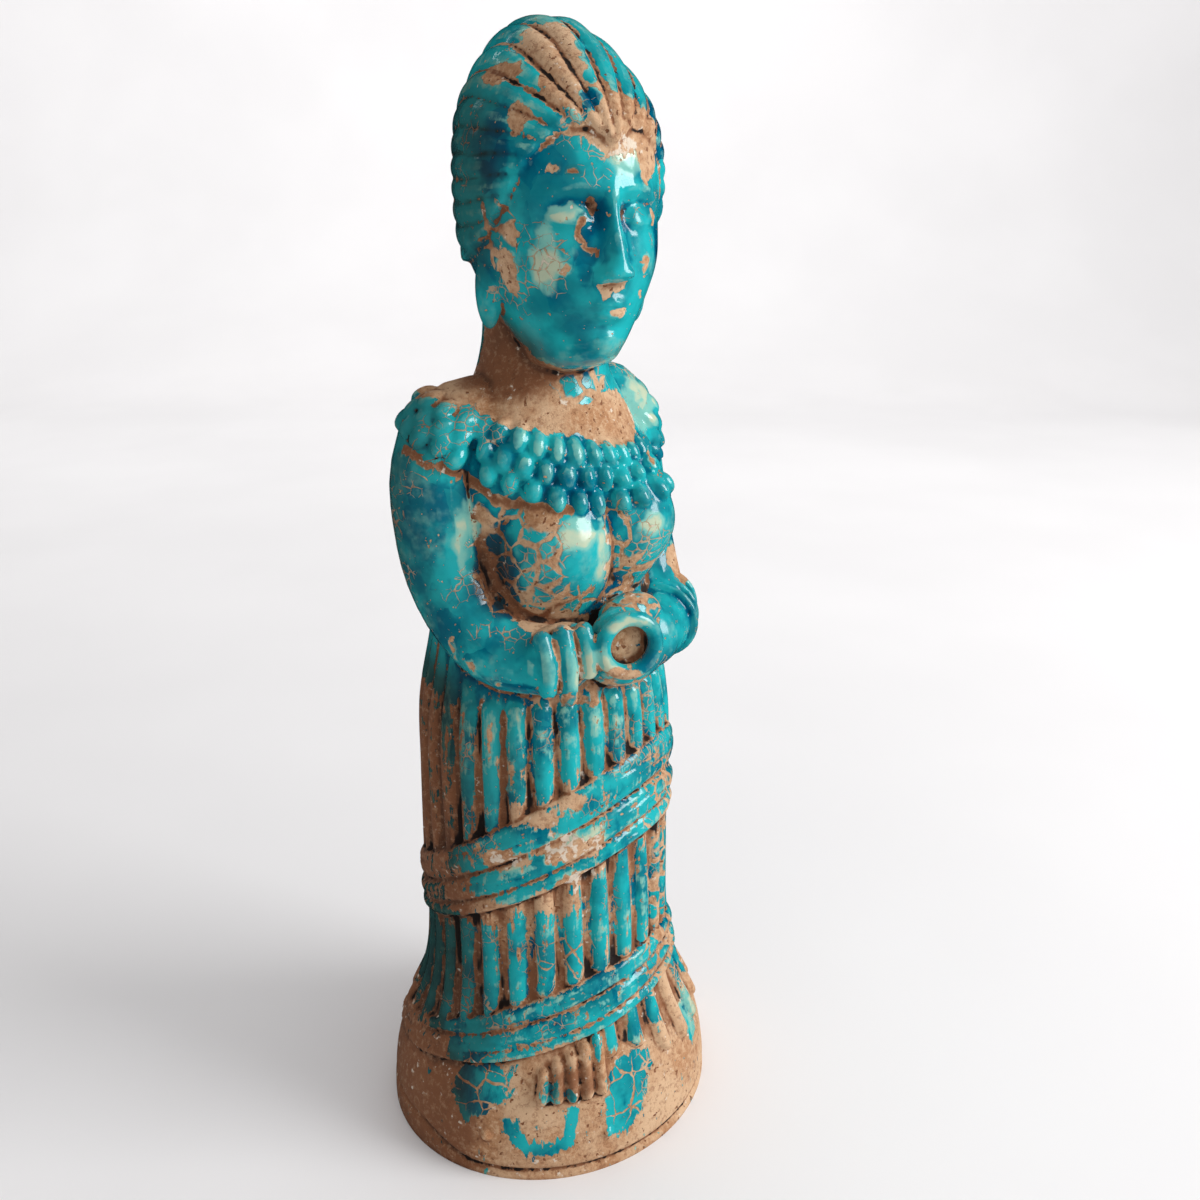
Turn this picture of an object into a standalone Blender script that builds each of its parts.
"""A glazed clay figurine of a standing woman in a pleated, wrapped dress, fired in one piece.

Metres, +Z up. She faces -Y, her right hand is on the -X side, and the origin is at the
middle of her flat underside. The pose and the carving are laid out in parts of her height.
"""

import math

import bmesh
import bpy
import numpy as np
from mathutils import Matrix, Vector
from mathutils.bvhtree import BVHTree

# Overall sizes
HEIGHT = 0.280
BASE_WIDTH = 0.0926
BASE_DEPTH = 0.0866

# Carving
PLEAT_DEPTH = 0.0019
FOLD_DEPTH = 0.0032
LOCK_DEPTH = 0.0016
RIM_GROOVE_DEPTH = 0.0010
BUST_RISE = 0.0068
BEAD_WIDTH = 0.0043
BEAD_LENGTH = 0.0072
BEAD_RISE = 0.0022
BEAD_GAP = 0.0006
DISH_WIDTH = 0.0170
DISH_RIM = 0.0038
DISH_DEPTH = 0.0018
FINGER_WIDTH = 0.0044

# Number of repeats
PLEATS_ABOVE = 30
PLEATS_BELOW = 28
LOCKS_OVER_HEAD = 15
BEAD_ROWS = 3
BEAD_OVERLAP = 0.78

# How finely the clay is modelled
CLAY_GRAIN = 0.0007
MOST_TRIANGLES = 9800
COLUMNS = 300
ROW_STEP = 0.9

PART = HEIGHT / 280
NAME = "figurine"


def parts(size):
    """A real size, in parts of the figure's height."""
    return size / PART


def at(x, y, z):
    """A place on the figure, given in parts of her height."""
    return Vector((x, y, z)) * PART


def flow(stations, z):
    """Smooth values between stations, which are rows that start with a height."""
    table = np.array(stations, float)
    heights = table[:, 0]
    slopes = np.gradient(table[:, 1:], heights, axis=0)
    z = np.clip(z, heights[0], heights[-1])
    index = np.clip(np.searchsorted(heights, z, side="right") - 1, 0, len(heights) - 2)
    span = (heights[index + 1] - heights[index])[..., None]
    t = (z - heights[index])[..., None] / span
    low, high = table[index, 1:], table[index + 1, 1:]
    return (
        low * (1 + 2 * t) * (1 - t) ** 2
        + slopes[index] * span * t * (1 - t) ** 2
        + high * t * t * (3 - 2 * t)
        - slopes[index + 1] * span * t * t * (1 - t)
    )


def dome(distance, radius):
    """The rise of a round bar or bead at a distance from its middle, from 1 down to 0."""
    return np.sqrt(np.clip(1 - (distance / radius) ** 2, 0, 1))


def ramp(value, start, end):
    t = np.clip((value - start) / (end - start), 0, 1)
    return t * t * (3 - 2 * t)


def turned(stations, rows, relief, place=Matrix.Identity(4)):
    """A closed form of oval sections, with carving that stands out from its surface.

    A station holds a step up the form, then its height, half width, half depth and the
    middle of its oval in x and y. The relief is worked out in parts from each point's
    angle and place, the angle being 0 at the front and growing towards her left hand.
    """
    bm = bmesh.new()
    bmesh.ops.create_grid(bm, x_segments=COLUMNS, y_segments=rows, size=1)
    grid = np.array([v.co for v in bm.verts])
    steps = np.array(stations, float)[:, 0]
    angle = math.pi * grid[:, 0]
    step = steps[0] + (steps[-1] - steps[0]) * (grid[:, 1] + 1) / 2
    height, wide, deep, middle_x, middle_y = flow(stations, step).T
    outward = np.column_stack([np.sin(angle), -np.cos(angle), 0 * angle])
    skin = np.column_stack([middle_x, middle_y, height])
    skin[:, :2] += outward[:, :2] * np.column_stack([wide, deep])
    skin += relief(angle, skin, wide)
    for vert, place_in_parts in zip(bm.verts, skin):
        vert.co = place @ (Vector(place_in_parts) * PART)
    bmesh.ops.remove_doubles(bm, verts=bm.verts, dist=PART * 1e-3)
    bmesh.ops.holes_fill(bm, edges=[e for e in bm.edges if e.is_boundary], sides=0)
    bmesh.ops.recalc_face_normals(bm, faces=bm.faces)
    mesh = bpy.data.meshes.new("turned form")
    bm.to_mesh(mesh)
    bm.free()
    return mesh


def round_pat():
    """A ball of radius 1, which each pat of clay is a stretched copy of."""
    bm = bmesh.new()
    bmesh.ops.create_uvsphere(bm, u_segments=16, v_segments=10, radius=1)
    mesh = bpy.data.meshes.new("round pat")
    bm.to_mesh(mesh)
    bm.free()
    return mesh


def ball(bm, middle, size, turn=Matrix.Identity(4)):
    """A pat of clay: an ellipsoid with the given half sizes in metres."""
    pat = bpy.data.meshes.get("round pat") or round_pat()
    pat = pat.copy()
    pat.transform(Matrix.Translation(middle) @ turn @ Matrix.Diagonal((*size, 1)))
    bm.from_mesh(pat)
    bpy.data.meshes.remove(pat)


def along(points, step):
    """Places and radii along a smooth line through points of x, y, z and radius."""
    table = np.array(points, float)
    gaps = np.linalg.norm(np.diff(table[:, :3], axis=0), axis=1)
    way = np.concatenate([[0], np.cumsum(gaps)])
    stops = np.linspace(0, way[-1], max(2, int(way[-1] / step) + 1))
    return flow(np.column_stack([way, table]), stops)


def coil(bm, points, place=Matrix.Identity(4)):
    """A roll of clay through points of x, y, z and radius, in parts, with round ends."""
    thinnest = min(point[3] for point in points)
    line = along(points, thinnest * 0.5)
    curve = bpy.data.curves.new("roll", "CURVE")
    curve.dimensions = "3D"
    curve.bevel_depth = PART
    curve.bevel_resolution = 4
    curve.use_fill_caps = True
    spline = curve.splines.new("POLY")
    spline.points.add(len(line) - 1)
    for point, (x, y, z, radius) in zip(spline.points, line):
        point.co = (*(place @ at(x, y, z)), 1)
        point.radius = radius
    roll = bpy.data.objects.new("roll", curve)
    bm.from_mesh(roll.to_mesh())
    roll.to_mesh_clear()
    bpy.data.objects.remove(roll)
    for x, y, z, radius in (line[0], line[-1]):
        ball(bm, place @ at(x, y, z), Vector((radius, radius, radius)) * PART)


def fused(meshes, grain, softening):
    """One skin over all the forms, as when joints between coils are smeared over."""
    bm = bmesh.new()
    for mesh in meshes:
        bm.from_mesh(mesh)
    joined = bpy.data.meshes.new("clay")
    bm.to_mesh(joined)
    bm.free()
    clay = bpy.data.objects.new("clay", joined)
    bpy.context.scene.collection.objects.link(clay)
    skin = clay.modifiers.new("one skin", "REMESH")
    skin.mode = "VOXEL"
    skin.voxel_size = grain
    smear = clay.modifiers.new("smeared over", "SMOOTH")
    smear.factor = 0.5
    smear.iterations = softening
    graph = bpy.context.evaluated_depsgraph_get()
    result = bpy.data.meshes.new_from_object(clay.evaluated_get(graph))
    bpy.data.objects.remove(clay)
    return result


# The trunk, from the foot to the top of the neck

FOOT_WIDE = parts(BASE_WIDTH) / 2
FOOT_DEEP = parts(BASE_DEPTH) / 2
UNDER_FOOT = -5
TRUNK_TOP = 230
PLEAT_HALF = 2.45


def trunk_stations():
    rows = [
        (UNDER_FOOT, FOOT_WIDE, FOOT_DEEP, 0),
        (3, FOOT_WIDE, FOOT_DEEP, 0),
        (10, FOOT_WIDE * 0.985, FOOT_DEEP * 0.980, 0),
        (18, FOOT_WIDE * 0.950, FOOT_DEEP * 0.940, 0),
        (26, FOOT_WIDE * 0.870, FOOT_DEEP * 0.875, 0),
        (34, FOOT_WIDE * 0.785, FOOT_DEEP * 0.800, 0),
        (42, 34.0, 32.4, 0),
        (52, 32.8, 31.1, 0),
        (70, 32.6, 30.5, 0),
        (86, 32.4, 29.6, 0),
        (104, 32.2, 28.9, 0),
        (118, 31.9, 28.2, 0),
        (128, 30.8, 26.8, 0),
        (142, 28.5, 24.5, 0),
        (158, 27.0, 22.6, -0.5),
        (171, 27.5, 22.5, -1.0),
        (181, 27.5, 21.7, -1.5),
        (189, 25.5, 19.5, -1.6),
        (195, 22.0, 17.2, -1.6),
        (199.5, 19.2, 16.2, -1.6),
        (204, 16.6, 15.2, -1.6),
        (210, 14.8, 14.5, -1.8),
        (221, 14.2, 13.6, -2.8),
        (TRUNK_TOP, 12.6, 11.6, -5.0),
    ]
    return [(z, z, wide, deep, 0, shift) for z, wide, deep, shift in rows]


def upper_wrap(angle):
    """Lower and upper edges of the roll of cloth round the hips."""
    return 72.0 + 15.5 * np.cos(angle - 0.47), 93.2 + 19.5 * np.cos(angle - 0.45)


def lower_wrap(angle):
    """Lower and upper edges of the roll of cloth round the shins."""
    return 30.7 + 10.6 * np.cos(angle - 0.61), 38.6 + 16.9 * np.cos(angle - 0.30)


def hem(angle):
    """Where the lowest pleats end, which is above the lower wrap where there are none."""
    front = 29.5 - 8.5 * ramp(angle, 0.0, 0.45)
    return front + 30 * np.maximum(ramp(-angle, 0.17, 0.30), ramp(angle, 1.7, 2.3))


def bars(angle, z, wide, count, groove, low, high, half_width):
    """Upright pleats with round ends, evenly spaced round the trunk from one groove."""
    pitch = 2 * math.pi / count
    first = groove + pitch / 2
    off = (angle - first + pitch / 2) % pitch - pitch / 2
    past_end = np.maximum(low + half_width - z, z - high + half_width)
    return dome(np.hypot(off * wide, np.maximum(past_end, 0)), half_width)


def folds(z, low, high, edges):
    """Rounded rolls lying one above the other between two edges, a little apart."""
    up = (z - low) / (high - low)
    rise = np.zeros_like(z)
    for start, end in zip(edges, edges[1:]):
        middle, half = (start + end) / 2, (end - start) / 2 * 0.91
        rise = np.maximum(rise, dome(up - middle, half))
    between = (up > 0.02) & (up < 0.98)
    return np.where(rise > 0, 0.45 + 0.55 * rise, 0.25 * between)


def toes(angle, z, wide):
    """Five short ends of cloth at the hem, in front of the right foot."""
    rise = np.zeros_like(z)
    for k in range(5):
        off = (angle - math.radians(-35.5 + 5.4 * k)) * wide
        past_end = np.maximum(23.2 - z, z - 28.5 - 1.8 * k)
        rise = np.maximum(rise, 1.4 * dome(np.hypot(off, np.maximum(past_end, 0)), 1.65))
    return rise


def bust(angle, z, wide):
    """Two soft mounds that grow out of the chest."""
    rise = np.zeros_like(z)
    for turn, height, fullness in ((-0.36, 164.5, 1.0), (0.56, 168.5, 1.25)):
        away = ((angle - turn) * wide / 15.5) ** 2 + ((z - height) / 16.5) ** 2
        rise = np.maximum(rise, fullness * np.clip(1 - away, 0, 1) ** 1.3)
    return rise


def trunk_relief(angle, skin, wide):
    z = skin[:, 2]
    low_1, high_1 = upper_wrap(angle)
    low_2, high_2 = lower_wrap(angle)
    sides = ramp(np.abs(angle), 1.0, 1.7)
    waist = 129 + 17 * sides
    first = math.radians(-2)
    pleats = np.maximum.reduce(
        [
            bars(angle, z, wide, PLEATS_ABOVE, first, high_1 - 3, waist, PLEAT_HALF),
            bars(angle, z, wide, PLEATS_BELOW, first, high_2 - 1, low_1 + 3, PLEAT_HALF),
            bars(angle, z, wide, PLEATS_BELOW, first, hem(angle), low_2 + 3, PLEAT_HALF),
            toes(angle, z, wide),
        ]
    )
    pleats *= 1 - 0.6 * ramp(z, 120, 142)
    upper_rolls = folds(z, low_1, high_1, (0, 0.20, 0.53, 1))
    lower_rolls = folds(z, low_2, high_2, (0, 0.20, 0.60, 1))
    lower_rolls *= 1 - 0.45 * ramp(-angle, 0.9, 1.6)
    rolls = np.maximum(upper_rolls, lower_rolls)
    rise = np.maximum(parts(PLEAT_DEPTH) * pleats, parts(FOLD_DEPTH) * rolls)
    rise += parts(BUST_RISE) * bust(angle, z, wide)
    rim = 2.6 + 4.5 * ramp(-angle, 1.0, 1.5)
    rise -= parts(RIM_GROOVE_DEPTH) * dome(z - rim, 1.1)
    uneven = 0.35 * np.sin(2 * angle + z / 23) + 0.25 * np.sin(5 * angle - z / 11)
    rise += uneven * ramp(z, 4, 20) * (1 - ramp(z, 180, 195))
    return np.column_stack([np.sin(angle) * rise, -np.cos(angle) * rise, 0 * z])


# The head, which looks a little to her right

HEAD_TURN = math.radians(-8)
HEAD_PLACE = Matrix.Translation(at(0.4, -0.5, 0)) @ Matrix.Rotation(HEAD_TURN, 4, "Z")
CHIN = 209.0
HEAD_TALL = 280 - CHIN
HEAD_STATIONS = [
    (0.00, CHIN - 3.5, 5.0, 5.5, 0, -12.5),
    (0.06, CHIN - 1.5, 9.0, 11.0, 0, -14.0),
    (0.14, CHIN + 2.5, 11.2, 15.2, 0, -14.4),
    (0.22, CHIN + 8, 14.6, 18.8, 0, -13.0),
    (0.32, CHIN + 15, 18.0, 21.8, 0, -11.9),
    (0.42, CHIN + 22, 20.4, 24.0, 0, -10.8),
    (0.50, CHIN + 29, 21.2, 24.6, 0, -9.6),
    (0.58, CHIN + 36, 21.4, 25.0, 0, -9.4),
    (0.66, CHIN + 43, 20.9, 25.0, 0, -9.0),
    (0.74, CHIN + 50, 19.4, 23.6, 0, -7.8),
    (0.83, CHIN + 57, 15.8, 19.3, 0, -6.2),
    (0.92, CHIN + 64, 10.2, 12.6, 0, -4.2),
    (0.97, CHIN + 67.4, 5.6, 7.0, 0, -3.0),
    (1.00, CHIN + 68.6, 0.5, 0.6, 0, -2.6),
]
HEAD_MIDDLE = (0, -9.4, CHIN + 35)
HAIRLINE = [
    (0.0, 251.5),
    (0.20, 255.0),
    (0.40, 254.5),
    (0.70, 249.5),
    (1.00, 240.5),
    (1.30, 234.0),
    (1.70, 230.5),
    (2.40, 229.0),
    (3.15, 228.5),
]
HAIR_STEP = 1.3


def hair_cover(skin):
    """1 where hair covers the head, 0 on the face and the nape."""
    side = np.abs(np.arctan2(skin[:, 0] - HEAD_MIDDLE[0], HEAD_MIDDLE[1] - skin[:, 1]))
    return ramp(skin[:, 2] - flow(HAIRLINE, side)[:, 0], -0.6, 0.9)


def locks(skin):
    """Thick locks combed from the brow over the head to the back, flatter at the sides."""
    x, y, z = (skin - HEAD_MIDDLE).T
    round_head = np.arctan2(x, z)
    back = np.arctan2(y, np.hypot(x, z))
    wavy = 0.10 * np.sin(5 * back + 3 * round_head)
    lock = round_head * LOCKS_OVER_HEAD / math.pi + wavy
    across = (lock % 1) - 0.5
    return dome(across, 0.5) * (1 - ramp(back, 0.6, 1.25)) * (1 - 0.45 * np.sin(round_head) ** 2)


def bump(x, z, middle_x, middle_z, half_x, half_z):
    """A soft hump or hollow, the same on both sides of the face."""
    return np.exp(-(((np.abs(x) - middle_x) / half_x) ** 2) - ((z - middle_z) / half_z) ** 2)


def canon(share):
    """A height on the head, from a share of its height above the chin."""
    return CHIN + share * HEAD_TALL


EYES = canon(0.410)
BROWS = canon(0.485)
NOSE_TIP = canon(0.255)
MOUTH = canon(0.155)


def face_form(x, z):
    """The features, as rises in parts from a smooth oval: on even proportions, and at rest."""
    across = np.abs(x)
    form = (
        -1.7 * bump(x, z, 7.9, EYES + 1.6, 5.0, 3.4)
        - 1.3 * bump(x, z, 3.9, EYES + 0.9, 1.9, 2.8)
        + 0.9 * bump(x, z, 10.5, canon(0.27), 5.5, 5.5)
        + 1.3 * bump(x, z, 0.0, MOUTH, 6.4, 4.2)
        - 0.9 * bump(x, z, 0.0, canon(0.100), 4.6, 1.5)
        + 1.5 * bump(x, z, 0.0, canon(0.045), 5.2, 3.4)
    )
    brow_line = BROWS + 0.6 - 0.045 * (across - 6.5) ** 2
    form += 0.8 * np.exp(-(((z - brow_line) / 1.5) ** 2) - ((across - 7.5) / 6.0) ** 4)
    eye = ((across - 8.0) / 4.8) ** 2 + ((z - EYES) / 2.7) ** 2
    form += 1.7 * np.sqrt(np.clip(1 - eye, 0, 1))
    lash = EYES - 1.0 - 0.9 * (1 - ((across - 8.0) / 4.8) ** 2)
    form -= 0.7 * np.exp(-(((z - lash) / 0.42) ** 2)) * (eye < 1.15)
    down = np.clip((BROWS - 1.0 - z) / (BROWS - 1.0 - NOSE_TIP), 0, 1)
    bridge = 1.7 + 1.6 * down**2
    tall = (1.2 + 3.7 * down**1.3) * ramp(z, NOSE_TIP - 2.2, NOSE_TIP - 0.2)
    tall *= 1 - ramp(z, BROWS - 2.0, BROWS + 3.5)
    form += tall * np.exp(-((across / bridge) ** 2.4))
    form += 1.9 * bump(x, z, 2.9, NOSE_TIP + 0.2, 1.5, 1.7)
    bow = MOUTH + 1.15 + 0.25 * np.cos(x * 1.3) * (across < 2.5)
    form += 0.95 * np.exp(-(((z - bow) / 0.95) ** 2) - (across / 4.3) ** 4)
    form += 1.15 * np.exp(-(((z - MOUTH + 1.35) / 1.2) ** 2) - (across / 3.7) ** 4)
    corner = MOUTH + 0.02 * x**2
    form -= 0.8 * np.exp(-(((z - corner) / 0.42) ** 2) - (across / 5.0) ** 6)
    return form


def head_relief(angle, skin, wide):
    hair = hair_cover(skin)
    rise = hair * (HAIR_STEP + parts(LOCK_DEPTH) * (locks(skin) - 0.5))
    front = ramp(HEAD_MIDDLE[1] - skin[:, 1], 2, 10)
    forward = (1 - hair) * front * face_form(skin[:, 0], skin[:, 2])
    out = skin - HEAD_MIDDLE
    out /= np.linalg.norm(out, axis=1)[:, None]
    return out * rise[:, None] + np.array([0, -1, 0]) * forward[:, None]


def lobes(bm):
    """A long ear drop at each side of the jaw."""
    for side in (-1, 1):
        ball(bm, HEAD_PLACE @ at(side * 18.2, -11.5, canon(0.205)), at(2.5, 3.9, 8.6))


# Arms and hands

def arms(bm):
    right = [
        (-12.5, -1, 195.5, 8.4),
        (-19.5, 1, 194.4, 9.4),
        (-25.2, 2, 190.6, 10.0),
        (-28.2, 1.8, 182.5, 10.6),
        (-28.6, 0.8, 171, 10.8),
        (-27.3, -0.8, 158.5, 10.6),
        (-25.0, -6.5, 147.5, 9.8),
        (-21.7, -15, 141.2, 9.2),
        (-15.5, -24, 140.2, 8.4),
    ]
    left = [
        (12.5, -1, 197, 8.4),
        (19, 1, 196, 9.2),
        (24.6, 2, 191.8, 9.8),
        (27.0, 2.2, 183, 9.8),
        (28.0, 0, 171, 9.5),
        (27.6, -4, 158.5, 9.3),
        (26.2, -10.5, 146.5, 9.1),
        (22.0, -19, 140.5, 8.8),
        (13, -26, 140.5, 8.2),
    ]
    coil(bm, right)
    coil(bm, left)


FINGERS = [(-19.6, -30.6, 147.5, 135.5), (-14.9, -32.2, 148.5, 133.0), (-10.0, -33.4, 148.5, 139.0)]


def hands(bm):
    """The right hand lies on the belly, and the left holds a small round dish in front of it."""
    ball(bm, at(-13.3, -26.5, 141), at(10.6, 6.0, 8.6))
    ball(bm, at(5, -28.0, 140), at(12.5, 7.2, 9.6))
    ball(bm, at(6, -28.0, 148), at(9.0, 5.0, 5.6))
    finger = parts(FINGER_WIDTH) / 2
    for x, y, high, low in FINGERS:
        knuckle = (x, y + 2.2, high, finger)
        middle = (x, y, (high + low) / 2, finger)
        tip = (x + 0.4, y + 0.8, low, finger)
        coil(bm, [knuckle, middle, tip])


def ring_line(middle, turn, radius, roll):
    """A closed round line about a middle, standing across the direction that it is turned to."""
    line = []
    for k in range(49):
        spoke = 2 * math.pi * k / 48
        place = middle + turn @ Vector((radius * math.cos(spoke), 0, radius * math.sin(spoke)))
        line.append((*place, roll))
    return line


def dish(bm):
    rim = parts(DISH_RIM) / 2
    radius = parts(DISH_WIDTH) / 2 - rim
    middle = Vector((-1.1, -37.0, 144.6))
    face_out = Matrix.Rotation(math.radians(-16), 3, "Z")
    coil(bm, ring_line(middle, face_out, radius, rim))
    floor = middle + face_out @ Vector((0, parts(DISH_DEPTH) + 1.6, 0))
    ball(bm, at(*floor), at(radius + 0.6, 1.6, radius + 0.6), face_out.to_4x4())
    behind = middle + face_out @ Vector((0, 6.0, 0))
    ball(bm, at(*behind), at(radius + 0.9, 4.0, radius + 0.9), face_out.to_4x4())


def sleeve(bm):
    """Three folds round her left forearm, close to the elbow."""
    for x, y, z, lean, radius in (
        (27.2, -13.8, 142.4, 35, 9.2),
        (25.0, -17.0, 141.2, 42, 9.1),
        (22.6, -19.9, 140.6, 48, 8.9),
    ):
        tilt = Matrix.Rotation(math.radians(-lean), 3, "Z")
        coil(bm, ring_line(Vector((x, y, z)), tilt, radius, 1.0))


# The garland of beads

def garland(bm, body):
    """Staggered rows of drop beads, pressed on to the chest and over both shoulders."""
    line = [
        (-32, 5, 198),
        (-32.5, -2, 196),
        (-28, -7.5, 192.5),
        (-22.3, -12, 189),
        (-17, -17.5, 186),
        (-9, -22, 183.2),
        (0, -23.5, 181.8),
        (8, -22.5, 180.8),
        (15, -19.5, 180.5),
        (21, -15.5, 181),
        (27, -10.5, 183.5),
        (31.5, -6, 187.5),
        (33, 0, 192),
        (31.5, 6, 196),
    ]
    bed = BVHTree.FromPolygons([v.co for v in body.vertices], [p.vertices[:] for p in body.polygons])
    neck = Vector((0, -1.5, 209))
    half_steps = along([(*point, 1) for point in line], parts(BEAD_WIDTH + BEAD_GAP) / 2)[:, :3]
    apart = parts(BEAD_LENGTH) * BEAD_OVERLAP
    lean = Matrix.Rotation(math.radians(-14), 4, "X")
    for row in range(BEAD_ROWS):
        out = (row - (BEAD_ROWS - 1) / 2) * apart
        for count, step in enumerate(half_steps[row % 2 :: 2]):
            point = Vector(step)
            away = (point - neck).normalized()
            narrow = 1 - 0.3 * ramp(abs(point.x), 20, 30)
            seat, normal = bed.find_nearest((point + away * out * narrow) * PART)[:2]
            down = (away - normal * away.dot(normal)).normalized()
            turn = Matrix((normal.cross(down), normal, down)).transposed().to_4x4()
            flat = 1 - 0.5 * ramp(point.x, 19, 27)
            uneven = 1 + 0.08 * math.sin(2.3 * count + 1.7 * row)
            half = Vector((BEAD_WIDTH * uneven, 2 * BEAD_RISE * flat, BEAD_LENGTH * uneven)) / 2
            ball(bm, seat, half, turn @ lean)


def knobs(bm):
    """Two spots where a firing stilt stuck."""
    for angle, height in ((-55, 12), (-13, 10.5)):
        turn = math.radians(angle)
        wide, deep = FOOT_WIDE * 0.975, FOOT_DEEP * 0.970
        ball(bm, at(wide * math.sin(turn), -deep * math.cos(turn), height), at(1.5, 1.5, 1.3))


def clay_of(*makers):
    bm = bmesh.new()
    for make in makers:
        make(bm)
    mesh = bpy.data.meshes.new("pats of clay")
    bm.to_mesh(mesh)
    bm.free()
    return mesh


def glazed_clay():
    material = bpy.data.materials.new("turquoise glaze on tan clay")
    material.use_nodes = True
    shader = material.node_tree.nodes["Principled BSDF"]
    shader.inputs["Base Color"].default_value = (0.02, 0.36, 0.42, 1)
    shader.inputs["Roughness"].default_value = 0.25
    shader.inputs["Metallic"].default_value = 0.0
    return material


def collection(name):
    made = bpy.data.collections.new(name)
    bpy.context.scene.collection.children.link(made)
    return made


def floor_cutter(cutters):
    """A block below z = 0, whose top makes her underside flat."""
    side, thick = 2 * BASE_WIDTH, 20 * PART
    mesh = bpy.data.meshes.new("below the floor")
    bm = bmesh.new()
    block = Matrix.Translation((0, 0, -thick / 2)) @ Matrix.Diagonal((side, side, thick, 1))
    bmesh.ops.create_cube(bm, size=1, matrix=block)
    bm.to_mesh(mesh)
    bm.free()
    block = bpy.data.objects.new("below_the_floor", mesh)
    block.hide_render = True
    block.display_type = "WIRE"
    cutters.objects.link(block)
    return block


def main():
    for obj in list(bpy.data.objects):
        bpy.data.objects.remove(obj)
    trunk = turned(trunk_stations(), int((TRUNK_TOP - UNDER_FOOT) / ROW_STEP), trunk_relief)
    head = turned(HEAD_STATIONS, 110, head_relief, HEAD_PLACE)
    limbs = clay_of(arms)
    body = fused([trunk, limbs], CLAY_GRAIN * 1.6, 4)
    details = clay_of(lobes, hands, dish, sleeve, knobs, lambda bm: garland(bm, body))
    whole = fused([trunk, head, limbs, details], CLAY_GRAIN, 1)
    figure = bpy.data.objects.new(NAME, whole)
    whole.name = NAME
    whole.materials.clear()
    whole.materials.append(glazed_clay())
    collection("figurine of a standing woman").objects.link(figure)
    fewer = figure.modifiers.new("fewer faces", "DECIMATE")
    fewer.ratio = MOST_TRIANGLES / sum(len(p.vertices) - 2 for p in whole.polygons)
    flat = figure.modifiers.new("flat underside", "BOOLEAN")
    flat.operation = "DIFFERENCE"
    flat.solver = "EXACT"
    flat.object = floor_cutter(collection("cutters"))
    for polygon in whole.polygons:
        polygon.use_smooth = True


main()
